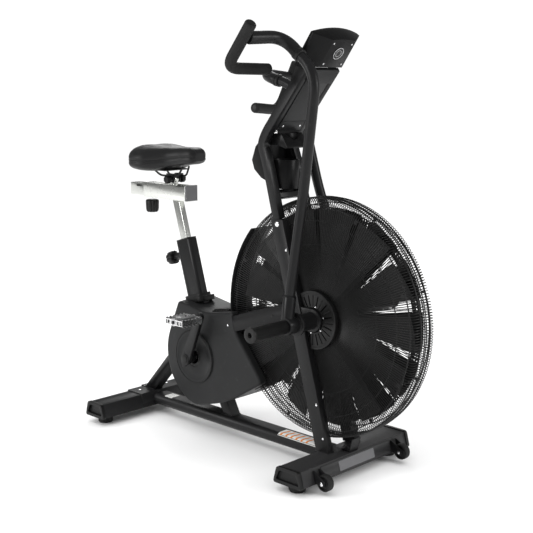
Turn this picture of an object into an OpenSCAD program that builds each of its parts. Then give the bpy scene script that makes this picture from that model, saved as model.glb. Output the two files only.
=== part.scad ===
// Air bike: a fan-braked exercise bike with swinging arms.
// X points forward, towards the fan, Y to the rider's left and Z up, with the origin on the floor.

/* [Base] */
// Width of the main beam
beam_w = 74; // [70:1:80]
// Height of the main beam
beam_h = 41; // [38:1:42]
// Top of the main beam above the floor
beam_top = 71; // [70:1:72]
// Underside of both stabilisers above the floor
stab_low = 29; // [28:1:30]
// Top of both stabilisers above the floor
stab_high = 76; // [75:1:76]
// Width of a stabiliser along its top
stab_top_w = 72; // [70:1:74]
// Width of a stabiliser along its underside
stab_low_w = 100; // [98:1:102]
// Rear stabiliser's place along X
rear_x = -572; // [-574:1:-570]
// Rear stabiliser's length
rear_len = 544; // [540:1:550]
// Front stabiliser's place along X
front_x = 357; // [356:1:358]
// Front stabiliser's length
front_len = 526; // [524:1:530]
// Diameter of a foot pad
pad_d = 52; // [46:1:56]
// Diameter of a transport wheel
wheel_d = 50; // [48:1:51]

/* [Frame] */
// Thickness of the uprights, side beams and mast tubes across the bike
tube_t = 26; // [24:1:26]
// Distance from the middle plane to the centre of those tubes
tube_y = 65; // [65:1:66]
// Width of an upright seen from the side
upright_w = 51; // [48:1:52]
// Wall of the frame tubes
wall = 3; // [2:0.5:3]

/* [Fan] */
// Fan axle's place along X
fan_x = 278; // [277:1:279]
// Fan axle's height
fan_z = 483; // [482:1:484]
// Radius of the cage
cage_r = 374; // [373:1:375]
// Half the depth of the cage
cage_half = 49; // [48:1:49]
// Number of fan paddles
paddles = 13; // [10:1:14]
// Outer radius of the fan
fan_r = 338; // [330:1:342]
// Radial bars in each face of the cage
cage_bars = 48; // [36:12:60]

/* [Drive] */
// Crank axle's place along X
crank_x = -250; // [-252:1:-248]
// Crank axle's height
crank_z = 272; // [271:1:273]
// Length of a crank arm between its centres
crank_len = 172; // [168:1:174]
// Angle of the right crank arm above the level
crank_angle = 66; // [60:1:68]
// Radius of the drive pulley
drive_r = 128; // [124:1:130]
// Radius of the fan pulley
fan_pulley_r = 32; // [30:1:34]
// Half the width of the shroud
shroud_half = 80; // [80:1:81]

/* [Seat] */
// How far the seat tube leans back, in degrees
seat_lean = 16.6; // [16.4:0.1:16.8]
// Height of the top of the seat tube
seat_top = 655; // [653:1:657]
// Top of the seat rail
rail_top = 847; // [845:1:849]
// Half the width of the saddle
saddle_half = 124; // [118:1:128]

/* [Arms] */
// Outer diameter of an arm tube
arm_d = 32; // [30:1:33]
// Outer diameter of the covered tube above the collar
yoke_d = 38; // [36:1:39]
// Outer diameter of a foam grip
grip_d = 35; // [33:1:36]
// Distance from the middle plane to an arm's pivot hub
hub_y = 171; // [170:1:172]
// Angle between the two arms
arm_phase = 24.4; // [24:0.1:25]
// Distance from the middle plane to the end of a foot peg
peg_end = 338; // [334:1:340]

/* [Console] */
// How far the console leans forward, in degrees
console_lean = 36; // [35:1:37]
// Width of the console
console_w = 208; // [200:1:212]
// Length of the console along its slope
console_h = 115; // [112:1:118]

/* [Hidden] */
$fn = 64;
gap = 0.4;
run = 0.05;
shaft_r = 10;
frame_in = tube_y - tube_t / 2;
frame_out = tube_y + tube_t / 2;
seat_x = -375;
sleeve_w = 76;
sleeve_t = 42;
post_w = 36;
post_t = 22;
pin_drop = 47;
rail_low = rail_top - 52;
rail_x = [-577, -352];
saddle_x = -432;
slide_back = -(fan_x + cage_r + 2);
slide_front = -395;
rail_wall = 4;
sleeve_len = 432;
knob_gap = 38;
strut_half = 18;
plate_half = 90;
mast_w = 28;
cup_x = 100;
cup_r = 44;
pedal_y = 188;
crank_y = 110;
shell_r = 24;
blade_pitch = 14;
blade_half = 10.2;
front_wide = 5;
vent_out = 66;
tilt_z = 866;
rail_knob_x = -558;
wheel_x = 440;
wheel_y = 186;
wheel_z = wheel_d / 2 + 13;
belt_y = [-43, -31];
paddle_y = [-24, 40];
guard_angles = [138, 226];
upright_foot = [331, stab_high + gap];
upright_slope = -0.2775;
crank = [crank_x, crank_z];
fan = [fan_x, fan_z];
console_foot = [229, 1252];
button_places = [-40, 0, 40];
button_row = 20;

// Outline of the mast tubes' centre line, seen from the side
mast_line = [[134, 782], [90, 945], [66, 1010], [84, 1046], [241.5, 1241]];
// Outline of the shroud, seen from the side
shroud_points = [[-334, 457], [-406, 290], [-376, 170], [-272, 90], [-96, 140], [73, 241], [-51, 392],
    [-64, 457], [-196, 434]];
shroud_rounding = [14, 60, 56, 50, 60, 26, 30, 12, 30];
// Arm tube, covered tube and grip of the right arm, measured from its pivot
arm_path = [[-5, -164.5, 88], [16, -130, 391], [64, -130, 748], [-10, -130, 800]];
yoke_path = [[-10, -130, 800], [-64, -130, 848], [-77, -264, 841]];
grip_path = [[-38, -290, 880], [-163, -268, 757], [-133, -118, 755]];

// ---- Outlines and paths ----

function unit(v) = v / norm(v);
function left_of(v) = [-v[1], v[0]];
function arc(c, r, from, to, steps = 24) =
    [for (i = [0:steps]) let (a = from + (to - from) * i / steps) c + r * [cos(a), sin(a)]];

// A rounded corner at b, starting and ending at the distance d from it
function corner(a, b, c, d, steps = 6) =
    let (p = b + d * unit(a - b), q = b + d * unit(c - b))
    [for (i = [0:steps]) let (t = i / steps) (1 - t) * (1 - t) * p + 2 * t * (1 - t) * b + t * t * q];

function bent(p, d, steps = 6) = concat(
    [p[0]], [for (i = [1:len(p) - 2]) each corner(p[i - 1], p[i], p[i + 1], d, steps)], [p[len(p) - 1]]);

// Rounds an outline by one distance, or by a list with a distance for each corner
function rounded_outline(p, d) =
    [for (i = [0:len(p) - 1])
        each corner(p[(i + len(p) - 1) % len(p)], p[i], p[(i + 1) % len(p)], is_list(d) ? d[i] : d)];

// Sideways direction at point i of an open path, long enough to keep the width in a bend
function miter(p, i) =
    let (n = len(p) - 1, a = unit(i == 0 ? p[1] - p[0] : p[i] - p[i - 1]), b =
        unit(i == n ? p[n] - p[n - 1] : p[i + 1] - p[i]),
         m = unit(left_of(a) + left_of(b)))
    m / (m * left_of(a));

function ribbon(p, w0, w1) =
    let (n = len(p) - 1)
    concat([for (i = [0:n]) p[i] + (w0 + (w1 - w0) * i / n) / 2 * miter(p, i)],
           [for (i = [n:-1:0]) p[i] - (w0 + (w1 - w0) * i / n) / 2 * miter(p, i)]);

// A closed outline moved outwards by d, for points that run anticlockwise
function grown(p, d) =
    [for (i = [0:len(p) - 1])
        let (a = left_of(unit(p[i] - p[(i + len(p) - 1) % len(p)])), b =
            left_of(unit(p[(i + 1) % len(p)] - p[i])), m = unit(a + b))
        p[i] - d * m / (m * a)];

// Outline around two circles joined by their tangents
function belt_outline(a, ra, b, rb) =
    let (line = b - a, turn = atan2(line[1], line[0]), open = acos((ra - rb) / norm(line)))
    concat(arc(a, ra, turn + open, turn + 360 - open, 40), arc(b, rb, turn - open, turn + open, 20));

// Section of a stabiliser grown by g; the front one is a little wider
function stab_outline(x, g) = let (wide = g + (x > 0 ? front_wide : 0)) [
    [x - stab_low_w / 2 - wide, stab_low - g], [x + stab_low_w / 2 + wide, stab_low - g],
    [x + stab_top_w / 2 + wide, stab_high + g], [x - stab_top_w / 2 - wide, stab_high + g]];

function upright_x(z) = upright_foot[0] + upright_slope * (z - upright_foot[1]);

// ---- Sweeping a round section along a path ----

function tangents(p) = [for (i = [0:len(p) - 1]) unit(p[min(i + 1, len(p) - 1)] - p[max(i - 1, 0)])];
function carried(t, i = 0, u = [0, 1, 0]) =
    i == len(t) ? [] : let (v = unit(u - (u * t[i]) * t[i])) concat([v], carried(t, i + 1, v));

module sweep(p, r, sides = 16) {
    t = tangents(p);
    u = carried(t);
    n = len(p);
    points = [for (i = [0:n - 1], k = [0:sides - 1])
        p[i] + r[i] * (cos(360 * k / sides) * u[i] + sin(360 * k / sides) * cross(t[i], u[i]))];
    walls = [for (i = [0:n - 2], k = [0:sides - 1])
        [i * sides + k, (i + 1) * sides + k, (i + 1) * sides + (k + 1) % sides, i * sides + (k + 1)
            % sides]];
    ends = [[for (k = [0:sides - 1]) k], [for (k = [sides - 1:-1:0]) (n - 1) * sides + k]];
    polyhedron(points, concat(walls, ends), convexity = 6);
}

// ---- Shared shapes ----

module rounded(w, h, r) {
    square([w - 2 * r, h], center = true);
    square([w, h - 2 * r], center = true);
    for (x = [-1, 1], y = [-1, 1])
        translate([x * (w / 2 - r), y * (h / 2 - r)]) circle(r, $fn = 32);
}

// Draws an outline of the side view and gives it thickness from y0 to y1
module from_side(y0, y1) {
    translate([0, y1, 0]) rotate([90, 0, 0]) linear_extrude(y1 - y0) children();
}

module both_sides() {
    children();
    mirror([0, 1, 0]) children();
}

// A cylinder along Y between y0 and y1, at a place of the side view
module cross_rod(at, r, y0, y1) {
    translate([at[0], y1, at[1]]) rotate([90, 0, 0]) cylinder(h = y1 - y0, r = r);
}

module rod(a, b, d) {
    v = b - a;
    translate(a) rotate([0, acos(v[2] / norm(v)), atan2(v[1], v[0])]) cylinder(h = norm(v), d = d);
}

module along_seat() {
    translate([seat_x, 0, seat_top]) rotate([0, -seat_lean, 0]) children();
}

module on_console() {
    translate([console_foot[0], 0, console_foot[1]]) rotate([90 - console_lean, 0, -90]) children();
}

module left_arm() {
    translate([fan_x, 0, fan_z]) rotate([0, -arm_phase, 0]) mirror([0, 1, 0]) children();
}

module right_arm() {
    translate([fan_x, 0, fan_z]) children();
}

module bolt_head(d) {
    cylinder(h = 0.3 * d, d = d, $fn = 32);
    translate([0, 0, 0.3 * d]) cylinder(h = 0.15 * d, d1 = d, d2 = 0.6 * d, $fn = 32);
}

module fluted_knob(d, h, flutes) {
    difference() {
        cylinder(h = h, d = d);
        for (i = [0:flutes - 1])
            rotate(360 * i / flutes) translate([0.52 * d, 0, -1])
                cylinder(h = h + 2, d = 0.16 * d, $fn = 16);
    }
}

// ---- Base ----

module saddle_plate(x, half_w) {
    difference() {
        intersection() {
            from_side(-half_w, half_w) polygon(stab_outline(x, 4));
            translate([x - 100, -half_w, 45]) cube([200, 2 * half_w, 60]);
        }
        from_side(-half_w - 1, half_w + 1) polygon(stab_outline(x, gap));
    }
}

module main_beam() color([0.07, 0.07, 0.075]) {
    saddle_plate(rear_x, plate_half);
    difference() {
        translate([rear_x + 30, 0, beam_top - beam_h / 2]) rotate([90, 0, 90])
            linear_extrude(front_x - rear_x - 60) difference() {
                rounded(beam_w, beam_h, beam_h / 2 - 1.5);
                rounded(beam_w - 2 * wall, beam_h - 2 * wall, beam_h / 2 - wall - 1.5);
            }
        for (x = [rear_x, front_x])
            from_side(-60, 60) polygon(stab_outline(x, gap));
    }
}

module stabilizer(x, length) {
    half = length / 2 - 12;
    difference() {
        from_side(-half, half) polygon(stab_outline(x, 0));
        from_side(-half - 1, half + 1) polygon(stab_outline(x, -wall));
    }
}

module rear_stabilizer() color([0.08, 0.08, 0.085]) stabilizer(rear_x, rear_len);

module front_stabilizer() color([0.08, 0.08, 0.085]) {
    stabilizer(front_x, front_len);
    // Raised panel along the front face
    difference() {
        from_side(-165, 165) polygon(stab_outline(front_x, 2));
        from_side(-166, 166) polygon(stab_outline(front_x, 0));
        translate([front_x - 70, -200, 0]) cube([102, 400, 100]);
        translate([front_x, -200, 0]) cube([100, 400, 34]);
        translate([front_x, -200, 71]) cube([100, 400, 34]);
    }
}

module end_cap(x, length) {
    difference() {
        from_side(length / 2 - 12 + gap / 2, length / 2) polygon(rounded_outline(stab_outline(x, 3), 10));
        from_side(length / 2 - 9, length / 2 + 1) polygon(rounded_outline(stab_outline(x, -8), 7));
    }
}

module stabilizer_end_caps() color([0.05, 0.05, 0.05]) both_sides() {
    end_cap(rear_x, rear_len);
    end_cap(front_x, front_len);
}

module foot_pads() color([0.03, 0.03, 0.03])
    for (place = [[rear_x, rear_len / 2 - 48], [front_x, front_len / 2 - 45]], side = [-1, 1])
        translate([place[0], side * place[1], 0]) {
            cylinder(h = 5, d1 = pad_d - 6, d2 = pad_d);
            translate([0, 0, 5]) cylinder(h = 15, d = pad_d);
            translate([0, 0, 20]) cylinder(h = stab_low - 20, d = pad_d - 20);
        }

module wheel_fork() {
    for (y = [wheel_y - 15, wheel_y + 11])
        from_side(y, y + 4) polygon([[411.5, 34], [wheel_x - 6, 28], [wheel_x + 9, 31],
            [wheel_x + 10, 47], [wheel_x - 4, 54], [407, 69], [402.8, 69]]);
    cross_rod([wheel_x, wheel_z], 4, wheel_y - 18, wheel_y + 18);
}

module front_brackets() color([0.06, 0.06, 0.065]) {
    both_sides() wheel_fork();
    // Strap that ties the bottom of the cage to the front stabiliser
    from_side(-20, 20) polygon([[364, stab_high + gap], [393, stab_high + gap], [405, 119.5],
        [401, 120.5], [390, 81], [364, 81]]);
}

module transport_wheel() {
    rotate([90, 0, 0]) rotate_extrude()
        polygon([[4 + run, -9], [12, -9], [14, -6], [20, -6], [20, -10], [wheel_d / 2 - 2, -10],
            [wheel_d / 2, -8],
                 [wheel_d / 2, 8], [wheel_d / 2 - 2, 10], [20, 10], [20, 6], [14, 6], [12, 9],
                     [4 + run, 9]]);
}

module transport_wheel_right() color([0.05, 0.05, 0.05]) translate([wheel_x, -wheel_y, wheel_z])
    transport_wheel();
module transport_wheel_left() color([0.05, 0.05, 0.05]) translate([wheel_x, wheel_y, wheel_z])
    transport_wheel();

// ---- Frame ----

module strut_solid(extra) {
    from_side(-strut_half - extra, strut_half + extra)
        polygon(ribbon([[-602, 47], [-300, 373]], 40 + 2 * extra, 40 + 2 * extra));
}

module post_solid(extra) {
    from_side(-strut_half - extra, strut_half + extra)
        polygon(ribbon([[-139, 50], [-255, 270]], 42 + 2 * extra, 42 + 2 * extra));
}

module sleeve_solid(extra, length) {
    along_seat() translate([0, 0, -length]) linear_extrude(length)
        rounded(sleeve_w + 2 * extra, sleeve_t + 2 * extra, 14 + extra);
}

module seat_tube() color([0.06, 0.06, 0.065]) {
    difference() {
        sleeve_solid(0, sleeve_len);
        along_seat() translate([0, 0, -sleeve_len - 1]) linear_extrude(sleeve_len + 2)
            rounded(sleeve_w - 2 * wall, sleeve_t - 2 * wall, 11);
        cross_rod(crank, shell_r + gap, -50, 50);
        along_seat() translate([0, 0, -pin_drop]) rotate([0, -90, 0]) cylinder(h = 60, r = 6 + run);
    }
    // Boss for the height pin
    along_seat() translate([-sleeve_w / 2 + 1, 0, -pin_drop]) rotate([0, -90, 0]) difference() {
        cylinder(h = knob_gap - 5, r = 13);
        translate([0, 0, -1]) cylinder(h = knob_gap, r = 6 + run);
    }
    // Rear strut and support post
    difference() {
        union() {
            strut_solid(0);
            post_solid(0);
        }
        sleeve_solid(-1, sleeve_len - 1);
        cross_rod(crank, shell_r + gap, -50, 50);
        translate([-800, -100, stab_high + gap - 100]) cube([300, 200, 100]);
        translate([-300, -100, beam_top + gap - 100]) cube([300, 200, 100]);
        from_side(-100, 100) polygon(stab_outline(rear_x, 4 + gap));
    }
}

module collar_solid(extra) along_seat() translate([0, 0, -222]) {
    translate([0, 0, -extra]) linear_extrude(18 + 2 * extra)
        rounded(sleeve_w + 34 + 2 * extra, sleeve_t + 34 + 2 * extra, 20 + extra);
    translate([0, 0, 17]) linear_extrude(12) rounded(sleeve_w + 16, sleeve_t + 16, 18);
}

module seat_tube_trim() color([0.04, 0.04, 0.04]) {
    // Sliding bush for the seat post
    along_seat() difference() {
        union() {
            translate([0, 0, -38]) linear_extrude(39)
                rounded(sleeve_w - 2 * wall - gap, sleeve_t - 2 * wall - gap, 11 - gap / 2);
            translate([0, 0, gap]) linear_extrude(6) rounded(sleeve_w, sleeve_t, 14);
        }
        translate([0, 0, -61]) linear_extrude(80) rounded(post_w + 2 * run, post_t + 2 * run, 4 + run);
    }
    // Flared collar above the shroud
    difference() {
        collar_solid(0);
        sleeve_solid(gap / 2, sleeve_len);
    }
}

beam_rear = [-250, 355];
beam_front = [170, 494.3];

module side_beam_solid(extra) {
    from_side(frame_in - extra, frame_out + extra)
        polygon(ribbon([beam_rear, beam_front], 51 + 2 * extra, 51 + 2 * extra));
}

module side_beams() color([0.08, 0.08, 0.085]) both_sides() {
    difference() {
        side_beam_solid(0);
        from_side(frame_in + wall, frame_out - wall)
            polygon(ribbon([beam_rear - [20, 6.6], beam_front + [60, 20]], 45, 45));
        upright_solid(gap);
    }
    // Gusset that carries the beam on the seat tube
    from_side(frame_in, frame_in + 4)
        polygon([[-281, 343], [-250, 368], [-262, 436], [-322, 436], [-312, 396]]);
    from_side(sleeve_t / 2 + gap, frame_in) polygon([[-322, 408], [-283, 408], [-283, 436], [-322, 436]]);
}

module upright_solid(extra) {
    z0 = stab_high + gap;
    z1 = 783;
    w = upright_w / 2 + extra;
    from_side(frame_in - extra, frame_out + extra)
        polygon([[upright_x(z0) - w, z0], [upright_x(z0) + w, z0], [upright_x(z1) + w, z1],
            [upright_x(z1) - w, z1]]);
}

module upright() {
    w = upright_w / 2 - wall;
    difference() {
        union() {
            upright_solid(0);
            // Bracket and boss that hold the fan axle
            from_side(frame_in + 5, frame_out - 5) polygon(arc(fan, 36, 0, 360, 48));
            from_side(frame_in + 5, frame_out - 5) polygon([[fan_x - 50, fan_z - 36],
                [fan_x, fan_z - 36], [fan_x, fan_z + 36], [fan_x - 50, fan_z + 36]]);
            cross_rod(fan, 27, frame_in + 0.5, hub_y - 22);
            cross_rod(fan, 36, hub_y - 32, hub_y - 25);
        }
        from_side(frame_in + wall, frame_out - wall)
            polygon([[upright_x(60) - w, 60], [upright_x(60) + w, 60], [upright_x(800) + w, 800],
                [upright_x(800) - w, 800]]);
        cross_rod(fan, shaft_r + run, 0, 200);
    }
}

module uprights() color([0.08, 0.08, 0.085]) both_sides() upright();

function mast_path() = bent(mast_line, 18);

module cross_bar(at, turn) {
    from_side(-frame_in + gap, frame_in - gap) translate(at) rotate(turn) rounded(20, 20, 4);
}

module mast_tubes() color([0.08, 0.08, 0.085]) {
    line = mast_path();
    both_sides() difference() {
        from_side(frame_in, frame_out) polygon(ribbon(line, mast_w, mast_w));
        from_side(frame_in + wall, frame_out - wall)
            polygon(ribbon(concat([line[0] + [3, -10]], line, [line[len(line) - 1] + [7, 9]]),
                mast_w - 2 * wall, mast_w - 2 * wall));
        translate([0, 0, 783 + gap - 100]) cube([300, 200, 100]);
    }
    cross_bar([117, 852], 15);
    cross_bar([202, 1192], 51);
}

// Panel between the mast tubes, with a thicker cross plate at its foot and a block at its head
module mast_panel() color([0.14, 0.14, 0.145]) from_side(-frame_in + gap, frame_in - gap) {
    polygon(ribbon([[132, 1081.6], [261.5, 1242.2]], 4, 4));
    polygon(ribbon([[110, 1054.3], [133, 1082.9]], 7, 7));
    polygon([[228, 1207], [243, 1196], [274, 1235], [268, 1242.8], [248, 1243.6]]);
}

// Liner that closes the back of the mast behind the bottle holder, with a hollow bulge
module mast_fairing() color([0.07, 0.07, 0.072]) difference() {
    bulge = [[44, 905], [14, 930], [4, 958], [20, 1000], [46, 1026], [74, 1046]];
    union() {
        from_side(-frame_in + gap, frame_in - gap)
            polygon(ribbon(concat([[105, 838], [91, 888]], bulge, [[105, 1051]]), 3, 3));
        both_sides() from_side(frame_in - 3, frame_in - gap)
            polygon(concat([[91, 888]], bulge, [[73, 1012], [88, 958]]));
    }
    cup_room();
}

module cup_room() {
    translate([cup_x, 0, 868]) cylinder(h = 230, r = cup_r + gap);
}

module bottle_holder() color([0.1, 0.1, 0.105]) difference() {
    half = frame_in - 3 - gap;
    union() {
        translate([cup_x, 0, 872]) cylinder(h = 90, r = cup_r);
        // Back plate and the upper ring with its raised front lip
        translate([cup_x - cup_r - 2, -half, 915]) cube([4, 2 * half, 100]);
        from_side(-half, half) polygon([[54, 1008], [54, 1023], [74, 1040], [104, 1045], [124, 1045],
            [134, 1034], [152, 1004], [147, 999], [112, 1008]]);
    }
    translate([cup_x, 0, 877]) cylinder(h = 200, r = cup_r - 4);
}

// ---- Console ----

module console_outline(w, h, rise) {
    polygon(concat([[-w / 2, 0], [w / 2, 0]],
                   [for (i = [0:16]) let (x = w / 2 - w * i / 16)
                       [x, h + rise * (1 - pow(2 * x / w, 2))]]));
}

module console_housing() color([0.07, 0.07, 0.075]) on_console() difference() {
    hull() {
        translate([0, 0, -12]) linear_extrude(12) console_outline(console_w, console_h, 16);
        translate([0, 24, -48]) linear_extrude(2) console_outline(104, 94, 4);
    }
    translate([0, 0, -2]) linear_extrude(5) translate([0, 8])
        console_outline(console_w - 16, console_h - 14, 12);
    for (x = button_places)
        translate([x, button_row, -7]) cylinder(h = 20, r = 9);
}

module console_bezel() color([0.12, 0.12, 0.13]) on_console() difference() {
    translate([0, 0, -2 + gap]) linear_extrude(2) translate([0, 8.4])
        console_outline(console_w - 17, console_h - 15, 12);
    translate([0, 74, -5]) linear_extrude(10) rounded(150, 56, 5);
    for (x = button_places)
        translate([x, button_row, -5]) cylinder(h = 10, r = 9);
}

module console_screen() color([0.35, 0.42, 0.38]) on_console()
    translate([0, 74, -2 + gap]) linear_extrude(1.4) rounded(149, 55, 5);

module button(x) color([0.5, 0.5, 0.52]) on_console() translate([x, button_row, -4]) {
    cylinder(h = 5, r = 8.6);
    translate([0, 0, 5]) cylinder(h = 1, r1 = 8.6, r2 = 7.6);
}

module button_left() button(button_places[0]);
module button_middle() button(button_places[1]);
module button_right() button(button_places[2]);

// ---- Cage and fan ----

module ring(r0, r1) {
    difference() {
        circle(r1, $fn = 128);
        circle(r0, $fn = 128);
    }
}

module at_fan() {
    translate([fan_x, 0, fan_z]) rotate([90, 0, 0]) children();
}

module cage_face() {
    at_fan() translate([0, 0, -cage_half]) linear_extrude(3) {
        for (r = [94, 230, 305, cage_r - 3])
            ring(r - 2, r + 2);
        for (i = [0:cage_bars - 1])
            rotate(360 * i / cage_bars) translate([93, -1]) square([cage_r - 97, 2]);
    }
}

module cage_face_left() color([0.04, 0.04, 0.04]) cage_face();
module cage_face_right() color([0.04, 0.04, 0.04]) mirror([0, 1, 0]) cage_face();

// Room for the belt where it enters the cage
module belt_room() {
    from_side(belt_y[0] - 7, belt_y[1] + 5) polygon(belt_outline(crank, drive_r + 14, fan,
        fan_pulley_r + 14));
}

module cage_rim() color([0.04, 0.04, 0.04]) difference() {
    at_fan() {
        translate([0, 0, -4]) linear_extrude(8) ring(cage_r - 5, cage_r + 2);
        translate([0, 0, -cage_half + 3]) linear_extrude(2 * cage_half - 6)
            for (i = [0:cage_bars - 1])
                rotate(360 * i / cage_bars) translate([cage_r - 5, -1.5]) square([4, 3]);
    }
    belt_room();
}

module wind_guard() color([0.09, 0.09, 0.095]) difference() {
    at_fan() rotate(guard_angles[0]) rotate_extrude(angle = guard_angles[1] - guard_angles[0], $fn = 128)
        translate([cage_r + 3, -50]) square([3, 100]);
    belt_room();
}

// A round box on each cage face with slots in its outer wall, cut away round the upright
module hub_vent_discs() color([0.05, 0.05, 0.05]) both_sides() difference() {
    at_fan() {
        translate([0, 0, 46.3]) linear_extrude(2.5) ring(34, 91);
        translate([0, 0, 46.3]) linear_extrude(vent_out - 46.3) ring(84, 91);
        translate([0, 0, vent_out - 4]) linear_extrude(2.5) difference() {
            ring(38, 86);
            for (i = [0:23])
                rotate(15 * i) translate([44, -2]) square([34, 4]);
        }
    }
    mirror([0, 1, 0]) upright_solid(gap);
    mirror([0, 1, 0]) from_side(frame_in + 4, frame_out)
        translate(fan + [-60, -36 - gap]) square([60, 72 + 2 * gap]);
}

module fan_axle() color([0.75, 0.76, 0.78]) cross_rod(fan, shaft_r, -peg_end + 16, peg_end - 16);

module fan_hub() color([0.5, 0.5, 0.52]) at_fan() {
    difference() {
        union() {
            translate([0, 0, -44]) cylinder(h = 88, r = 22);
            for (y = [-paddle_y[1] - 2, -paddle_y[0]])
                translate([0, 0, y]) cylinder(h = 2, r = 95);
            translate([0, 0, -belt_y[1]]) cylinder(h = 12, r = fan_pulley_r - gap);
        }
        translate([0, 0, -50]) cylinder(h = 100, r = 16);
    }
    // Bearings
    for (y = [-44, 32])
        translate([0, 0, y]) rotate_extrude() translate([shaft_r + run, 0])
            square([16 - shaft_r - 2 * run, 12]);
}

function sector(r0, r1, half) = concat(arc([0, 0], r1, -half, half, 4), arc([0, 0], r0, half, -half, 4));

// Each blade is a web across the fan with a pitched sheet on its near side and a flat one on the far side
module fan_paddles() color([0.05, 0.05, 0.055]) at_fan()
    for (i = [0:paddles - 1])
        rotate(360 * i / paddles) {
            translate([62, -1, -paddle_y[1] + gap]) cube([fan_r - 64, 2, paddle_y[1] - paddle_y[0] - 17]);
            translate([0, 0, -paddle_y[1] + gap]) linear_extrude(2) polygon(sector(99, fan_r, blade_half));
            translate([0, 0, -paddle_y[0] - 17]) rotate([blade_pitch, 0, 0]) linear_extrude(2)
                polygon(sector(99, fan_r, blade_half));
        }

// Drilled plates between the blades, close to their tips
module fan_rim_plates() color([0.05, 0.05, 0.055]) at_fan()
    for (i = [0:paddles - 1])
        rotate(360 / paddles * (i + 0.5)) translate([0, 0, -paddle_y[1] + gap]) linear_extrude(2)
            difference() {
                polygon(sector(fan_r - 36, fan_r - 4, 180 / paddles - blade_half - 0.1));
                for (k = [-1:1], r = [fan_r - 28, fan_r - 19, fan_r - 10])
                    rotate(1.9 * k) translate([r, 0]) circle(2.6, $fn = 16);
            }

// ---- Drive ----

module drive_belt() color([0.03, 0.03, 0.03]) from_side(belt_y[0] + 0.5, belt_y[1] - 0.5) difference() {
    polygon(belt_outline(crank, drive_r + 3, fan, fan_pulley_r + 3));
    polygon(belt_outline(crank, drive_r, fan, fan_pulley_r));
}

module belt_cover() color([0.07, 0.07, 0.072]) intersection() {
    difference() {
        from_side(-45.6, -27.8) polygon(belt_outline(crank, drive_r + 9, fan, fan_pulley_r + 9));
        from_side(-44.2, -29.2) polygon(belt_outline(crank, drive_r + 6, fan, fan_pulley_r + 6));
        cross_rod(fan, 23, -60, 0);
    }
    cross_rod(fan, cage_r - 8, -60, 0);
}

module drive_pulley() color([0.45, 0.46, 0.48]) difference() {
    union() {
        cross_rod(crank, drive_r - gap, belt_y[0], belt_y[1]);
        cross_rod(crank, 20, belt_y[0] - 6, belt_y[1]);
    }
    for (i = [0:5])
        cross_rod(crank + 78 * [cos(60 * i), sin(60 * i)], 27, belt_y[0] - 10, belt_y[1] + 10);
    cross_rod(crank, shaft_r, -60, 0);
}

module crank_shell() color([0.3, 0.3, 0.31]) {
    difference() {
        cross_rod(crank, shell_r, -29, 29);
        cross_rod(crank, 18, -40, 40);
    }
    // Bearings
    for (y = [-28, 16])
        difference() {
            cross_rod(crank, 18 - run, y, y + 12);
            cross_rod(crank, shaft_r + run, -40, 40);
        }
}

module crank_axle() color([0.7, 0.7, 0.72]) cross_rod(crank, shaft_r, -120, 120);

function crank_end(side) = crank - side * crank_len * [cos(crank_angle), sin(crank_angle)];

// A point of a crank arm, along it from the crank axle and across it
function on_crank(side, along, across) = let (a = crank_angle)
    crank - side * (along * [cos(a), sin(a)] + across * [-sin(a), cos(a)]);

module crank_arm(side) {
    end = crank_end(side);
    y0 = side > 0 ? crank_y : -crank_y - 14;
    difference() {
        union() {
            from_side(y0, y0 + 14) polygon(concat(
                [for (p = [[-34, 0], [-10, -19], [24, -19]]) on_crank(side, p[0], p[1])],
                [for (t = [-80:20:80]) on_crank(side, crank_len + 14 * cos(t), 14 * sin(t))],
                [for (p = [[24, 19], [-10, 19]]) on_crank(side, p[0], p[1])]));
            cross_rod(crank, 18, side > 0 ? 90 : -126, side > 0 ? 126 : -90);
        }
        cross_rod(crank, shaft_r, -130, 130);
    }
    cross_rod(end, 6, side > 0 ? 118 : -pedal_y - 48, side > 0 ? pedal_y + 48 : -118);
}

module crank_arms() color([0.06, 0.06, 0.065]) {
    crank_arm(-1);
    crank_arm(1);
}

// A pedal body around its axle, centred on the origin
module pedal_body() {
    difference() {
        union() {
            cross_rod([0, 0], 13, -46, 46);
            for (y = [-46, 42])
                from_side(y, y + 4) rounded(84, 24, 6);
            for (x = [-42, 39])
                from_side(-42 - gap, 42 + gap) translate([x + 1.5, 0]) square([3, 22], center = true);
            for (x = [-41, 38], i = [-4:4])
                translate([x, 9 * i - 2, -13]) cube([3, 4, 26]);
            from_side(-3, 3) rounded(80, 12, 3);
        }
        cross_rod([0, 0], 6 + run, -60, 60);
    }
}

module pedal_right() color([0.7, 0.7, 0.72]) translate([crank_end(-1)[0], -pedal_y, crank_end(-1)[1]])
    pedal_body();
module pedal_left() color([0.7, 0.7, 0.72]) translate([crank_end(1)[0], pedal_y, crank_end(1)[1]])
    pedal_body();

// ---- Shroud ----

module shroud_half_shell() {
    outline = rounded_outline(shroud_points, shroud_rounding);
    difference() {
        from_side(gap / 2, shroud_half) polygon(outline);
        from_side(-1, shroud_half - 3) polygon(grown(outline, -3));
        cross_rod(fan, cage_r + 8, -1, 52);
        sleeve_solid(1, sleeve_len);
        collar_solid(gap);
        strut_solid(1);
        post_solid(1);
        side_beam_solid(gap);
        top_cover_solid(gap);
        cross_rod(crank, 24, -1, 100);
        belt_room();
    }
}

module shroud_left() color([0.13, 0.13, 0.135]) shroud_half_shell();
module shroud_right() color([0.13, 0.13, 0.135]) mirror([0, 1, 0]) shroud_half_shell();

module top_cover_solid(extra) {
    from_side(-58 - extra, 58 + extra)
        polygon(ribbon([[-182 - extra, 439], [-74, 458.5]], 4 + 2 * extra, 4 + 2 * extra));
}

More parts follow.
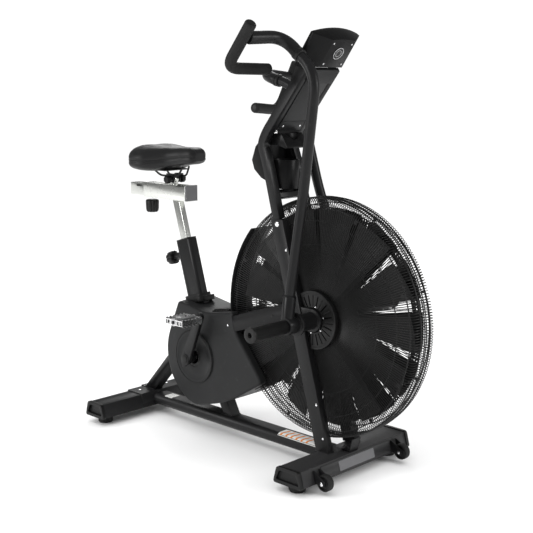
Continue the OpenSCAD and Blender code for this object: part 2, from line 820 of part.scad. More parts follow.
module shroud_top_cover() color([0.04, 0.04, 0.04]) difference() {
    union() {
        top_cover_solid(0);
        for (i = [0:6])
            let (x = -176 + 11.6 * i)
            translate([x, -54, 437.5 + 1.8 + (x + 190) * 0.181]) cube([5, 108, 5]);
    }
    cross_rod(fan, cage_r + 8, -100, 100);
}

module disc_covers() color([0.1, 0.1, 0.105]) both_sides()
    translate([crank_x, shroud_half + gap / 2, crank_z])
    rotate([-90, 0, 0]) rotate_extrude($fn = 96)
        polygon([[24, 0], [93, 0], [93, 3], [90, 5], [80, 5], [78, 3.5], [40, 3.5], [38, 5], [24, 5]]);

// ---- Arms and foot pegs ----

module arm_hub() difference() {
    union() {
        cross_rod([0, 0], 26, -hub_y - 19, -hub_y + 19);
        rod([-8, -171, 10], [-5.1, -164.7, 87.5], 40);
    }
    cross_rod([0, 0], shaft_r + run, -300, 0);
}

// The arm tube widens at its collar into the covered tube
module arm_tube() {
    lower = bent(arm_path, 74, 8);
    upper = bent(yoke_path, 60, 8);
    path = concat([for (i = [0:len(lower) - 2]) lower[i]], [[-9.3, -130, 799.4]], upper);
    sweep(path, [for (i = [0:len(path) - 1]) i < len(lower) ? arm_d / 2 : yoke_d / 2]);
}

module arm_grip() {
    path = bent(grip_path, 46, 10);
    sweep(path, [for (p = path) grip_d / 2]);
}

module arm_hub_right() color([0.06, 0.06, 0.065]) right_arm() arm_hub();
module arm_hub_left() color([0.06, 0.06, 0.065]) left_arm() arm_hub();
module arm_tube_right() color([0.08, 0.08, 0.085]) right_arm() arm_tube();
module arm_tube_left() color([0.08, 0.08, 0.085]) left_arm() arm_tube();
module arm_grip_right() color([0.05, 0.05, 0.05]) right_arm() arm_grip();
module arm_grip_left() color([0.05, 0.05, 0.05]) left_arm() arm_grip();

module foot_pegs() color([0.07, 0.07, 0.07]) both_sides() difference() {
    union() {
        cross_rod(fan, 21, hub_y + 24, peg_end - 8);
        cross_rod(fan, 23.5, peg_end - 8 - run, peg_end);
    }
    cross_rod(fan, shaft_r + run, 0, peg_end - 15);
    cross_rod(fan, 8, 0, peg_end + 10);
}

// ---- Seat ----

module seat_post() color([0.72, 0.73, 0.75]) difference() {
    along_seat() difference() {
        translate([0, 0, -232]) linear_extrude(232 + 170) rounded(post_w, post_t, 4);
        translate([0, 0, -233]) linear_extrude(233 + 180) rounded(post_w - 5, post_t - 5, 2);
        // Groove and holes for the height pin
        translate([-post_w / 2 - 1, -4.5, -240]) cube([2.2, 9, 360]);
        for (i = [-7:5])
            translate([-post_w / 2 - 2, 0, 25 * i - pin_drop]) rotate([0, 90, 0]) cylinder(h = 10, r = 4.4);
    }
    translate([seat_x - 200, -60, rail_low - gap]) cube([300, 120, 200]);
}

module seat_rail() color([0.74, 0.75, 0.77]) {
    length = rail_x[1] - rail_x[0];
    difference() {
        translate([rail_x[0], -25, rail_low]) cube([length, 50, 52]);
        translate([rail_x[0] - 1, -25 + rail_wall, rail_low + rail_wall])
            cube([length + 2, 50 - 2 * rail_wall, 52 - 2 * rail_wall]);
        translate([saddle_x - 56, -12, rail_top - 10]) cube([112, 24, 20]);
        translate([rail_knob_x, 0, rail_low - 10]) cylinder(h = 20, r = 5 + run);
    }
    // Plug in the front end
    from_side(-26, 26) polygon([[rail_x[1] + gap, rail_low - 1], [rail_x[1] + 9, rail_low - 1],
        [rail_x[1] + 5, rail_top + 2], [rail_x[1] + gap, rail_top + 2]]);
}

module slide_bar() color([0.7, 0.71, 0.73]) {
    low = rail_low + rail_wall + gap;
    high = 52 - 2 * rail_wall - 2 * gap;
    half = 25 - rail_wall - gap;
    difference() {
        translate([slide_back, -half, low]) cube([slide_front - slide_back, 2 * half, high]);
        translate([slide_back - 1, -half + 3, low + 3]) cube([300, 2 * half - 6, high - 6]);
    }
    // Saddle pin with an eye for the clamp spindle
    difference() {
        union() {
            translate([saddle_x, 0, rail_top - 6]) cylinder(h = tilt_z - rail_top + 6, r = 11);
            cross_rod([saddle_x, tilt_z], 11, -8, 8);
        }
        cross_rod([saddle_x, tilt_z], 4 + run, -20, 20);
    }
}

module saddle_clamp() color([0.12, 0.12, 0.125]) both_sides() difference() {
    union() {
        cross_rod([saddle_x, tilt_z], 12, 12, 17);
        translate([saddle_x - 9, 12, tilt_z]) cube([18, 5, 16]);
        translate([saddle_x - 16, 12, tilt_z + 12]) cube([32, 14, 8]);
    }
    cross_rod([saddle_x, tilt_z], 4 + run, 0, 40);
    rod([saddle_x - 40, 20, tilt_z + 11.5], [saddle_x + 40, 20, tilt_z + 11.5], 7.2);
}

function saddle_wire(side) = bent([
    [-545, 30 * side, 886], [-500, 20 * side, tilt_z + 11.5], [-372, 20 * side, tilt_z + 11.5],
    [-332, 9 * side, 920]], 24, 4);

module saddle_base() color([0.05, 0.05, 0.05]) {
    for (side = [-1, 1])
        sweep(saddle_wire(side), [for (p = saddle_wire(side)) 3.5], 10);
    translate([0, 0, 886]) linear_extrude(3.4)
        polygon(rounded_outline([[-560, -80], [-440, -60], [-396, -28], [-396, 28], [-440, 60],
            [-560, 80]], 16));
}

module saddle_cushion() color([0.06, 0.06, 0.06]) hull() {
    for (side = [-1, 1])
        translate([-510, side * (saddle_half - 56), 938]) scale([62, 56, 46]) sphere(1, $fn = 32);
    translate([-342, 0, 949.5]) scale([46, 40, 29]) sphere(1, $fn = 24);
}

// ---- Knobs and fasteners ----

module height_knob() color([0.04, 0.04, 0.04]) along_seat() translate([0, 0, -pin_drop])
    rotate([0, -90, 0]) {
    translate([0, 0, post_w / 2 - 0.6]) cylinder(h = 20, r = 4);
    translate([0, 0, post_w / 2 + 6]) cylinder(h = (sleeve_w - post_w) / 2 + knob_gap - 5, r = 6);
    translate([0, 0, sleeve_w / 2 + knob_gap]) fluted_knob(48, 32, 8);
}

module rail_knob() color([0.04, 0.04, 0.04]) translate([rail_knob_x, 0, 0]) {
    translate([0, 0, 780]) cylinder(h = rail_low + rail_wall - 780, r = 5);
    translate([0, 0, 739]) fluted_knob(48, 46, 8);
}

module clamp_knobs() color([0.04, 0.04, 0.04]) {
    cross_rod([saddle_x, tilt_z], 4, -40, 40);
    both_sides() translate([saddle_x, 27, tilt_z]) rotate([-90, 0, 0]) fluted_knob(30, 22, 8);
}

module side_bolt(at, y, d) {
    translate([at[0], y, at[1]]) rotate([-90, 0, 0]) bolt_head(d);
}

module frame_bolts() color([0.75, 0.76, 0.78]) {
    both_sides() {
        // Mast joint, side beam and shroud corner
        side_bolt([upright_x(768), 768], frame_out + gap / 2, 19);
        side_bolt([130, 478], frame_out + gap / 2, 11);
        side_bolt([-84, 410], shroud_half + gap / 2, 10);
        // Plate that clamps the main beam to the rear stabiliser
        translate([rear_x - 3, 64, stab_high + 4 + gap / 2]) bolt_head(16);
    }
    // Nut on the cage strap
    translate([378, 0, 81 + gap / 2]) bolt_head(13);
}

// ---- Assembly ----
main_beam();
rear_stabilizer();
front_stabilizer();
stabilizer_end_caps();
foot_pads();
front_brackets();
transport_wheel_right();
transport_wheel_left();
seat_tube();
seat_tube_trim();
side_beams();
uprights();
mast_tubes();
mast_panel();
mast_fairing();
bottle_holder();
console_housing();
console_bezel();
console_screen();
button_left();
button_middle();
button_right();
cage_face_right();
cage_face_left();
cage_rim();
wind_guard();
hub_vent_discs();
fan_axle();
fan_hub();
fan_paddles();
fan_rim_plates();
belt_cover();
drive_belt();
drive_pulley();
crank_shell();
crank_axle();
crank_arms();
pedal_right();
pedal_left();
shroud_right();
shroud_left();
shroud_top_cover();
disc_covers();
foot_pegs();
arm_hub_right();
arm_hub_left();
arm_tube_right();
arm_tube_left();
arm_grip_right();
arm_grip_left();
seat_post();
seat_rail();
slide_bar();
saddle_clamp();
saddle_base();
saddle_cushion();
height_knob();
rail_knob();
clamp_knobs();
frame_bolts();
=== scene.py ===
"""Looks of an air bike, built round its CAD frame.

Metres. X points forward, towards the fan, Y to the rider's left and Z up.
"""

import math

import bmesh
import bpy
from mathutils import Matrix, Vector


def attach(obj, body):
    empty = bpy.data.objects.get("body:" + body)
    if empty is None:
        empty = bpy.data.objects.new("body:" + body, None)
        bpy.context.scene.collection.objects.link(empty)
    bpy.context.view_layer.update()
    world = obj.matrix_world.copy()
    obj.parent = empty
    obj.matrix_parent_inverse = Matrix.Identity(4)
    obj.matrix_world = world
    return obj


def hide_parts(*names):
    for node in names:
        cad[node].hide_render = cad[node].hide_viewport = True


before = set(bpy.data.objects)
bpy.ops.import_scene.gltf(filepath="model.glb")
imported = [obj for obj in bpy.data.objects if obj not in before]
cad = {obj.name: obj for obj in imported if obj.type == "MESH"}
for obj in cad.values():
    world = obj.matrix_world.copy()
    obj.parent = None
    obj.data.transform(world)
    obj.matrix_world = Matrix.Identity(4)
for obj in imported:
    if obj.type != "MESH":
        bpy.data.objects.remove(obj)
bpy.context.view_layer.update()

FAN = Vector((0.278, 0, 0.483))
CRANK = Vector((-0.250, 0, 0.272))
CRANK_ANGLE = math.radians(66)
CRANK_LENGTH, PEDAL_Y = 0.172, 0.188
CAGE_OUT = 0.3715
CAGE_HALF = 0.0475
DRIVE_R, FAN_PULLEY_R = 0.128, 0.032
SEAT_LEAN = math.radians(16.6)
ARM_PHASE = math.radians(24.4)
CONSOLE_LEAN = math.radians(36)
CONSOLE_FOOT = Vector((0.229, 0, 1.252))
SEAT_TOP = Vector((-0.375, 0, 0.655))
TILT = Vector((-0.432, 0, 0.866))
WHEEL = Vector((0.440, 0.186, 0.038))


def mm(*values):
    return Vector(values) * 0.001


# ---- Camera and studio ----


def add_camera():
    data = bpy.data.cameras.new("camera")
    data.lens, data.sensor_width = 69.66, 36
    obj = bpy.data.objects.new("camera", data)
    obj.location = (2.3225, -2.3704, 1.1976)
    obj.rotation_euler = (math.radians(79.913), 0, math.radians(44.207))
    bpy.context.scene.collection.objects.link(obj)
    bpy.context.scene.camera = obj


def add_light(name, place, target, size, power):
    data = bpy.data.lights.new(name, "AREA")
    data.shape, data.size, data.energy = "SQUARE", size, power
    obj = bpy.data.objects.new(name, data)
    obj.location = place
    obj.rotation_euler = (Vector(target) - Vector(place)).to_track_quat("-Z", "Y").to_euler()
    bpy.context.scene.collection.objects.link(obj)


def add_world():
    """White to the camera, and a soft dim light from all round for everything else."""
    world = bpy.data.worlds.new("studio")
    world.use_nodes = True
    tree = world.node_tree
    seen, light = tree.nodes["Background"], tree.nodes.new("ShaderNodeBackground")
    seen.inputs["Color"].default_value = light.inputs["Color"].default_value = (1, 1, 1, 1)
    seen.inputs["Strength"].default_value = 1.05
    light.inputs["Strength"].default_value = 0.26
    path, mix = tree.nodes.new("ShaderNodeLightPath"), tree.nodes.new("ShaderNodeMixShader")
    tree.links.new(path.outputs["Is Camera Ray"], mix.inputs["Fac"])
    tree.links.new(light.outputs["Background"], mix.inputs[1])
    tree.links.new(seen.outputs["Background"], mix.inputs[2])
    tree.links.new(mix.outputs["Shader"], tree.nodes["World Output"].inputs["Surface"])
    bpy.context.scene.world = world


def add_studio():
    mesh = bpy.data.meshes.new("floor")
    corners = ((-40, -40), (40, -40), (40, 40), (-40, 40))
    mesh.from_pydata([(x, y, 0) for x, y in corners], [], [(0, 1, 2, 3)])
    floor = bpy.data.objects.new("floor", mesh)
    bpy.context.scene.collection.objects.link(floor)
    mat = bpy.data.materials.new("floor_white")
    mat.use_nodes = True
    shader = mat.node_tree.nodes["Principled BSDF"]
    shader.inputs["Base Color"].default_value = (0.93, 0.93, 0.93, 1)
    shader.inputs["Roughness"].default_value = 0.9
    mesh.materials.append(mat)
    add_world()
    bpy.context.scene.view_settings.view_transform = "Standard"
    sun = bpy.data.lights.new("sky", "SUN")
    sun.energy, sun.angle = 3.0, math.radians(100)
    overhead = bpy.data.objects.new("sky", sun)
    overhead.rotation_euler = (math.radians(12), math.radians(8), 0)
    overhead.visible_glossy = False
    bpy.context.scene.collection.objects.link(overhead)
    add_light("key", (-1.6, -3.4, 1.9), (0, 0, 0.6), 1.3, 50)
    add_light("side", (3.9, 1.4, 2.0), (0.1, 0, 0.6), 1.2, 50)
    add_light("back", (-2.8, 2.6, 2.8), (0, 0, 0.7), 1.6, 30)


# ---- Materials ----


def add_node(tree, kind, **values):
    made = tree.nodes.new("ShaderNode" + kind)
    for name, value in values.items():
        made.inputs[name.replace("_", " ")].default_value = value
    return made


def surface(name, color, rough, metal=0.0, grain=0.3, grain_scale=700, patch=0.08, wear=0.0,
            brushed=None, cells=False, shine=0.28):
    """A worn, grained surface. brushed stretches the grain, and cells makes it pebbled."""
    mat = bpy.data.materials.new(name)
    mat.use_nodes = True
    tree = mat.node_tree
    link = tree.links.new
    shader = tree.nodes["Principled BSDF"]
    shader.inputs["Metallic"].default_value = metal
    shader.inputs["Specular IOR Level"].default_value = shine
    place = tree.nodes.new("ShaderNodeTexCoord")

    stretch = add_node(tree, "Mapping", Scale=brushed or (1, 1, 1))
    link(place.outputs["Object"], stretch.inputs["Vector"])
    if cells:
        fine = add_node(tree, "TexVoronoi", Scale=grain_scale)
        height = fine.outputs["Distance"]
    else:
        fine = add_node(tree, "TexNoise", Scale=grain_scale, Detail=3.0)
        height = fine.outputs["Fac"]
    link(stretch.outputs["Vector"], fine.inputs["Vector"])
    bump = add_node(tree, "Bump", Strength=grain, Distance=0.0004)
    link(height, bump.inputs["Height"])
    link(bump.outputs["Normal"], shader.inputs["Normal"])

    broad = add_node(tree, "TexNoise", Scale=7.0, Detail=5.0)
    link(place.outputs["Object"], broad.inputs["Vector"])
    uneven = add_node(tree, "MapRange", From_Min=0.3, From_Max=0.7, To_Min=rough - patch,
                      To_Max=rough + patch)
    link(broad.outputs["Fac"], uneven.inputs["Value"])
    link(uneven.outputs["Result"], shader.inputs["Roughness"])

    scuff = add_node(tree, "TexNoise", Scale=46.0, Detail=8.0, Roughness=0.7)
    link(place.outputs["Object"], scuff.inputs["Vector"])
    amount = add_node(tree, "MapRange", From_Min=0.58, From_Max=0.75, To_Min=0.0, To_Max=wear)
    link(scuff.outputs["Fac"], amount.inputs["Value"])
    tint = tree.nodes.new("ShaderNodeMix")
    tint.data_type = "RGBA"
    tint.inputs["A"].default_value = (*color, 1)
    tint.inputs["B"].default_value = (*[min(1, c * 1.6 + 0.05) for c in color], 1)
    link(amount.outputs["Result"], tint.inputs["Factor"])
    link(tint.outputs["Result"], shader.inputs["Base Color"])
    return mat


PAINT = surface("frame_paint", (0.008, 0.008, 0.0084), 0.36, grain=0.35, grain_scale=900,
                wear=0.22, shine=0.24)
BEAM_PAINT = surface("beam_paint", (0.012, 0.012, 0.0125), 0.42, grain=0.35, grain_scale=900,
                     wear=0.22)
FOOT_PAINT = surface("foot_paint", (0.024, 0.024, 0.0245), 0.38, grain=0.35, grain_scale=900,
                     wear=0.2)
PLASTIC = surface("shroud_plastic", (0.0135, 0.0138, 0.0142), 0.46, grain=0.25,
                  grain_scale=1300, wear=0.18, shine=0.22)
CASE = surface("console_plastic", (0.005, 0.005, 0.0052), 0.34, grain=0.2, grain_scale=1300,
               wear=0.1, shine=0.12)
BLACK = surface("black_plastic", (0.006, 0.006, 0.006), 0.44, grain=0.2, grain_scale=1200,
                wear=0.12)
FAN_BLACK = surface("fan_black", (0.016, 0.016, 0.016), 0.32, grain=0.1, grain_scale=400,
                    wear=0.2, shine=0.18)
WIRE = surface("wire_coat", (0.008, 0.008, 0.008), 0.38, grain=0.1, wear=0.1)
RUBBER = surface("rubber", (0.012, 0.012, 0.012), 0.72, grain=0.5, grain_scale=900, wear=0.25)
FOAM = surface("grip_foam", (0.010, 0.010, 0.010), 0.7, grain=0.7, grain_scale=1400, cells=True,
               wear=0.18)
VINYL = surface("saddle_vinyl", (0.009, 0.009, 0.0093), 0.40, grain=0.55, grain_scale=520,
                cells=True, wear=0.16)
CHROME = surface("chrome", (0.68, 0.69, 0.66), 0.26, metal=1.0, grain=0.12, grain_scale=60,
                 brushed=(1, 12, 1), patch=0.06, wear=0.1)
BRIGHT = surface("bright_bolt", (0.9, 0.9, 0.91), 0.2, metal=1.0, grain=0.05, patch=0.05)
STEEL = surface("steel", (0.55, 0.55, 0.56), 0.34, metal=1.0, grain=0.2, grain_scale=80,
                brushed=(1, 14, 1))
ALUMINIUM = surface("aluminium", (0.82, 0.82, 0.82), 0.28, metal=1.0, grain=0.2,
                    grain_scale=900, wear=0.3)
GREY_CAP = surface("grey_cap", (0.12, 0.12, 0.125), 0.45, grain=0.2, grain_scale=1200, wear=0.2)
# Grey of the painted highlight on the sloping front face of the front stabilizer
HIGHLIGHT_GREY = surface("painted_highlight_grey", (0.14, 0.14, 0.145), 0.4, grain=0.2, grain_scale=1200, wear=0.3)
SCREEN = surface("screen_glass", (0.10, 0.12, 0.11), 0.12, grain=0.0, patch=0.04)
KEY = surface("key_plastic", (0.22, 0.22, 0.23), 0.5, grain=0.2, wear=0.2)
RED = surface("key_red", (0.35, 0.03, 0.02), 0.45, grain=0.2, wear=0.1)
PAPER = surface("label_white", (0.82, 0.82, 0.80), 0.55, grain=0.1, wear=0.0)
ORANGE = surface("label_orange", (0.75, 0.25, 0.04), 0.55, grain=0.1, wear=0.0)

CAD_LOOKS = {
    PAINT: ["front_brackets", "seat_tube", "side_beams", "uprights", "mast_tubes", "crank_arms",
            "arm_hub_right", "arm_hub_left", "saddle_base", "saddle_clamp", "cage_face_right",
            "cage_face_left", "cage_rim", "arm_tube_right", "arm_tube_left"],
    BEAM_PAINT: ["main_beam", "rear_stabilizer"],
    FOOT_PAINT: ["front_stabilizer"],
    PLASTIC: ["shroud_right", "shroud_left", "disc_covers", "mast_panel", "wind_guard",
              "belt_cover"],
    CASE: ["mast_fairing", "bottle_holder", "console_housing", "console_bezel"],
    BLACK: ["stabilizer_end_caps", "seat_tube_trim", "transport_wheel_right",
            "transport_wheel_left", "shroud_top_cover", "hub_vent_discs", "foot_pegs",
            "height_knob", "rail_knob", "clamp_knobs"],
    FAN_BLACK: ["fan_paddles", "fan_rim_plates", "fan_hub"],
    RUBBER: ["foot_pads", "drive_belt"],
    FOAM: ["arm_grip_right", "arm_grip_left"],
    VINYL: ["saddle_cushion"],
    CHROME: ["seat_post", "seat_rail", "slide_bar"],
    BRIGHT: ["frame_bolts"],
    STEEL: ["fan_axle", "crank_axle", "crank_shell", "drive_pulley"],
    ALUMINIUM: ["pedal_right", "pedal_left"],
    SCREEN: ["console_screen"],
    KEY: ["button_left", "button_middle"],
    RED: ["button_right"],
}
SOFT_EDGES = {
    0.0012: ["main_beam", "rear_stabilizer", "front_stabilizer", "side_beams", "uprights",
             "mast_tubes", "seat_tube", "seat_rail", "slide_bar", "seat_post", "front_brackets",
             "crank_arms", "stabilizer_end_caps", "seat_tube_trim", "foot_pads", "mast_panel"],
    0.0025: ["shroud_right", "shroud_left", "mast_fairing", "bottle_holder", "console_housing"],
    0.0006: ["disc_covers", "foot_pegs", "arm_hub_right", "arm_hub_left", "pedal_right",
             "pedal_left", "wind_guard", "console_bezel", "transport_wheel_right",
             "transport_wheel_left", "shroud_top_cover", "hub_vent_discs", "frame_bolts",
             "saddle_clamp"],
}
WELD_GAP = 0.00001


def soften(obj, width):
    """Rounds the edges that turn by more than 40 degrees."""
    weld = obj.modifiers.new("weld", "WELD")
    weld.merge_threshold = WELD_GAP
    bevel = obj.modifiers.new("bevel", "BEVEL")
    bevel.width, bevel.segments, bevel.limit_method = width, 2, "ANGLE"
    bevel.angle_limit = math.radians(40)
    bevel.harden_normals = True


def dress_cad():
    """Gives every CAD node its material, and soft edges to those that have straight ones."""
    for mat, names in CAD_LOOKS.items():
        for name in names:
            mesh = cad[name].data
            mesh.materials.clear()
            mesh.materials.append(mat)
            smooth(mesh)
    for width, names in SOFT_EDGES.items():
        for name in names:
            soften(cad[name], width)


# ---- Building pieces ----


def smooth(mesh, angle=35):
    mesh.polygons.foreach_set("use_smooth", [True] * len(mesh.polygons))
    mesh.set_sharp_from_angle(angle=math.radians(angle))


def rounded(points, d, steps=8):
    """An open path whose corners are rounded from the distance d before and after them."""
    path = [Vector(points[0])]
    for a, b, c in zip(points, points[1:], points[2:]):
        p, q = b + (a - b).normalized() * d, b + (c - b).normalized() * d
        path += [p.lerp(b, t).lerp(b.lerp(q, t), t) for t in (i / steps for i in range(steps + 1))]
    return path + [Vector(points[-1])]


class Shape:
    """Points and faces of one piece, gathered from simple solids."""

    def __init__(self):
        self.points, self.faces = [], []

    def put(self, points, faces):
        n = len(self.points)
        self.points += [Vector(p) for p in points]
        self.faces += [tuple(n + i for i in f) for f in faces]
        return self

    def tube(self, path, radius, sides=12, closed=False):
        """A round bar along the path, with one radius or a list of one for each point."""
        radii = radius if isinstance(radius, list) else [radius] * len(path)
        count, points, faces = len(path), [], []
        side = None
        for i, p in enumerate(path):
            ahead = path[(i + 1) % count] if closed or i < count - 1 else p
            behind = path[i - 1] if closed or i > 0 else p
            along = (ahead - behind).normalized()
            if side is None:
                side = along.orthogonal()
            side = (side - along * side.dot(along)).normalized()
            up = along.cross(side)
            for k in range(sides):
                a = 2 * math.pi * k / sides
                points.append(p + (side * math.cos(a) + up * math.sin(a)) * radii[i])
        for i in range(count if closed else count - 1):
            a, b = i * sides, (i + 1) % count * sides
            faces += [(a + k, b + k, b + (k + 1) % sides, a + (k + 1) % sides)
                      for k in range(sides)]
        if not closed:
            faces += [tuple(range(sides)), tuple(range((count - 1) * sides, count * sides))]
        return self.put(points, faces)

    def lathe(self, profile, base, axis, steps=40, flutes=0, depth=0.0):
        """Turns (radius, height) pairs about axis; flutes cut finger hollows of that depth."""
        axis = Vector(axis).normalized()
        side = axis.orthogonal().normalized()
        up = axis.cross(side)
        points, faces = [], []
        for r, h in profile:
            for k in range(steps):
                a = 2 * math.pi * k / steps
                fluted = flutes and r > 3 * depth
                cut = depth * max(0.0, math.cos(flutes * a)) ** 2 if fluted else 0.0
                outward = side * math.cos(a) + up * math.sin(a)
                points.append(Vector(base) + axis * h + outward * (r - cut))
        for i in range(len(profile) - 1):
            a, b = i * steps, (i + 1) * steps
            faces += [(a + k, a + (k + 1) % steps, b + (k + 1) % steps, b + k)
                      for k in range(steps)]
        faces += [tuple(range(steps)), tuple(range(len(points) - steps, len(points)))]
        return self.put(points, faces)

    def box(self, centre, size, turn=None):
        ends = (-0.5, 0.5)
        corners = [Vector((x, y, z)) for x in ends for y in ends for z in ends]
        placed = [Vector(c * s for c, s in zip(p, size)) for p in corners]
        placed = [Vector(centre) + (turn @ p if turn else p) for p in placed]
        return self.put(placed, [(0, 1, 3, 2), (4, 6, 7, 5), (0, 4, 5, 1),
                                 (2, 3, 7, 6), (0, 2, 6, 4), (1, 5, 7, 3)])

    def dome(self, base, axis, r, high=0.45):
        """A bolt's round head."""
        steps = [(r * 0.98, 0), (r, 0.2 * high * r), (r, 0.45 * high * r)]
        steps += [(r * math.cos(a), high * r * (0.45 + 0.55 * math.sin(a)))
                  for a in (math.radians(d) for d in (25, 50, 75))]
        return self.lathe(steps, base, axis, 24)

    def made(self, name, body, mat, slot, replaces=(), bevel=0.0, angle=35):
        """The finished piece. It rides the body, and angle is where its shading turns sharp."""
        mesh = bpy.data.meshes.new(name)
        mesh.from_pydata(self.points, [], self.faces)
        work = bmesh.new()
        work.from_mesh(mesh)
        bmesh.ops.recalc_face_normals(work, faces=work.faces)
        work.to_mesh(mesh)
        work.free()
        smooth(mesh, angle)
        mesh.materials.append(mat)
        obj = bpy.data.objects.new(name, mesh)
        bpy.context.scene.collection.objects.link(obj)
        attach(obj, body)
        if replaces:
            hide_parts(*replaces)
        if bevel:
            soften(obj, bevel)
        return obj


# ---- Cage ----

WIRES = 288
WIRE_R = 0.00125
WIRE_START = 0.0915
WIRE_BEND = 0.012
BELT_CLEARANCE = 0.022
# Rings that hold the wires: radius, distance from the cage's middle plane, and thickness
CAGE_RINGS = (
    (0.0935, CAGE_HALF - 0.002, 0.0024),
    (0.232, CAGE_HALF - 0.0018, 0.0016),
    (0.305, CAGE_HALF - 0.0018, 0.0016),
    (0.353, CAGE_HALF - 0.0018, 0.002),
    (CAGE_OUT + 0.0016, 0.022, 0.0022),
    (CAGE_OUT + 0.0016, 0.004, 0.0018),
)
CLIP_R, CLIP_Y = 0.346, 0.0462
CLIP_ANGLES = (20, 65, 110, 155, 250, 295, 335)


def near_belt(ray):
    """Whether the drive belt crosses the cage's rim close to this ray from the fan."""
    point = FAN + ray * CAGE_OUT
    line = FAN - CRANK
    along = (point - CRANK).dot(line) / line.length_squared
    if not 0 < along < 1:
        return False
    off = (point - CRANK - line * along).length
    return abs(off - (DRIVE_R + (FAN_PULLEY_R - DRIVE_R) * along)) < BELT_CLEARANCE


def wire_section():
    """A wire's (radius, y) points from the near face, round the rim, to the far face."""
    bend = WIRE_BEND
    corner = [(CAGE_OUT - bend + bend * math.sin(a), -CAGE_HALF + bend - bend * math.cos(a))
              for a in (math.radians(d) for d in (0, 22, 45, 68, 90))]
    near = [(WIRE_START, -CAGE_HALF)] + corner
    return near + [(r, -y) for r, y in reversed(near)]


def spoke(steps, count=360):
    """The unit vector at steps / count of a turn from forwards to up, and its angle."""
    a = 2 * math.pi * steps / count
    return Vector((math.cos(a), 0, math.sin(a))), a


def circle(centre, r, y, steps):
    return [centre + Vector((r * math.cos(t), y, r * math.sin(t)))
            for t in (2 * math.pi * k / steps for k in range(steps))]


def build_cage():
    wires = Shape()
    for i in range(WIRES):
        ray, _ = spoke(i, WIRES)
        section = wire_section()
        runs = [section]
        if near_belt(ray):
            runs = [section[:2], section[-6:]]
        for run in runs:
            wires.tube([FAN + ray * r + Vector((0, y, 0)) for r, y in run], WIRE_R, 5)
    for r, y, thick in CAGE_RINGS:
        for side in (-1, 1):
            wires.tube(circle(FAN, r, side * y, 144), thick, 6, closed=True)
    wires.made("cage_wires", "frame", WIRE, "frame_paint",
               ["cage_face_right", "cage_face_left", "cage_rim"], angle=60)

    clips = Shape()
    for side in (-1, 1):
        for degrees in CLIP_ANGLES:
            ray, a = spoke(degrees)
            turn = Matrix.Rotation(-a, 3, "Y")
            at = FAN + ray * CLIP_R + Vector((0, side * CLIP_Y, 0))
            clips.box(at, (0.014, 0.0022, 0.009), turn)
    clips.made("cage_clips", "frame", WIRE, "frame_paint", bevel=0.0005)


# ---- Hub vents ----

LOUVRES, LOUVRE_R, LOUVRE_Y = 36, 0.061, 0.0632
LOUVRE_TILT = math.radians(28)
VENT_SCREWS, VENT_SCREW_R, VENT_SCREW_Y = 6, 0.0420, 0.0645
FIRST_SCREW = 18


def behind_upright(ray):
    """Whether a ray from the fan's centre meets the upright or the axle bracket."""
    return ray.x < -0.25


def build_hub_details():
    louvres, screws = Shape(), Shape()
    for side in (-1, 1):
        for k in range(LOUVRES):
            ray, a = spoke(k, LOUVRES)
            if behind_upright(ray):
                continue
            turn = Matrix.Rotation(-a, 3, "Y") @ Matrix.Rotation(LOUVRE_TILT, 3, "X")
            at = FAN + ray * LOUVRE_R + Vector((0, side * LOUVRE_Y, 0))
            louvres.box(at, (0.032, 0.0012, 0.0038), turn)
        for k in range(VENT_SCREWS):
            ray, _ = spoke(k * 360 / VENT_SCREWS + FIRST_SCREW)
            if behind_upright(ray):
                continue
            at = FAN + ray * VENT_SCREW_R + Vector((0, side * VENT_SCREW_Y, 0))
            screws.dome(at, (0, side, 0), 0.0028)
    louvres.made("hub_louvres", "frame", BLACK, "shroud_plastic", bevel=0.0003)
    screws.made("hub_screws", "frame", BRIGHT, "chrome")


# ---- Arms ----

ARM_TUBE_R, YOKE_R, GRIP_R = 0.016, 0.019, 0.0175
ARM_PATH = [mm(-5, -164.5, 88), mm(16, -130, 391), mm(64, -130, 748), mm(-10, -130, 800)]
YOKE_PATH = [mm(-10, -130, 800), mm(-64, -130, 848), mm(-77, -264, 841)]
GRIP_PATH = [mm(-38, -290, 880), mm(-163, -268, 757), mm(-133, -118, 755)]


def place_arm(points, left):
    """Points of the right arm, or of the left one, which is its mirror turned to its own angle."""
    if left:
        turn = Matrix.Rotation(-ARM_PHASE, 3, "Y")
        points = [turn @ Vector((p.x, -p.y, p.z)) for p in points]
    return [FAN + p for p in points]


def round_ended(path, r, rounding=0.006):
    """The path and its radii, with both ends closed by a small round."""
    first, last = (path[0] - path[1]).normalized(), (path[-1] - path[-2]).normalized()
    turns = [math.radians(d) for d in (85, 60, 30, 0)]
    steps = [(rounding * (1 - math.sin(a)), r - rounding * (1 - math.cos(a))) for a in turns]
    start = [(path[0] - first * back, radius) for back, radius in steps]
    end = [(path[-1] - last * back, radius) for back, radius in reversed(steps)]
    pairs = start + [(p, r) for p in path[1:-1]] + end
    return [p for p, _ in pairs], [q for _, q in pairs]


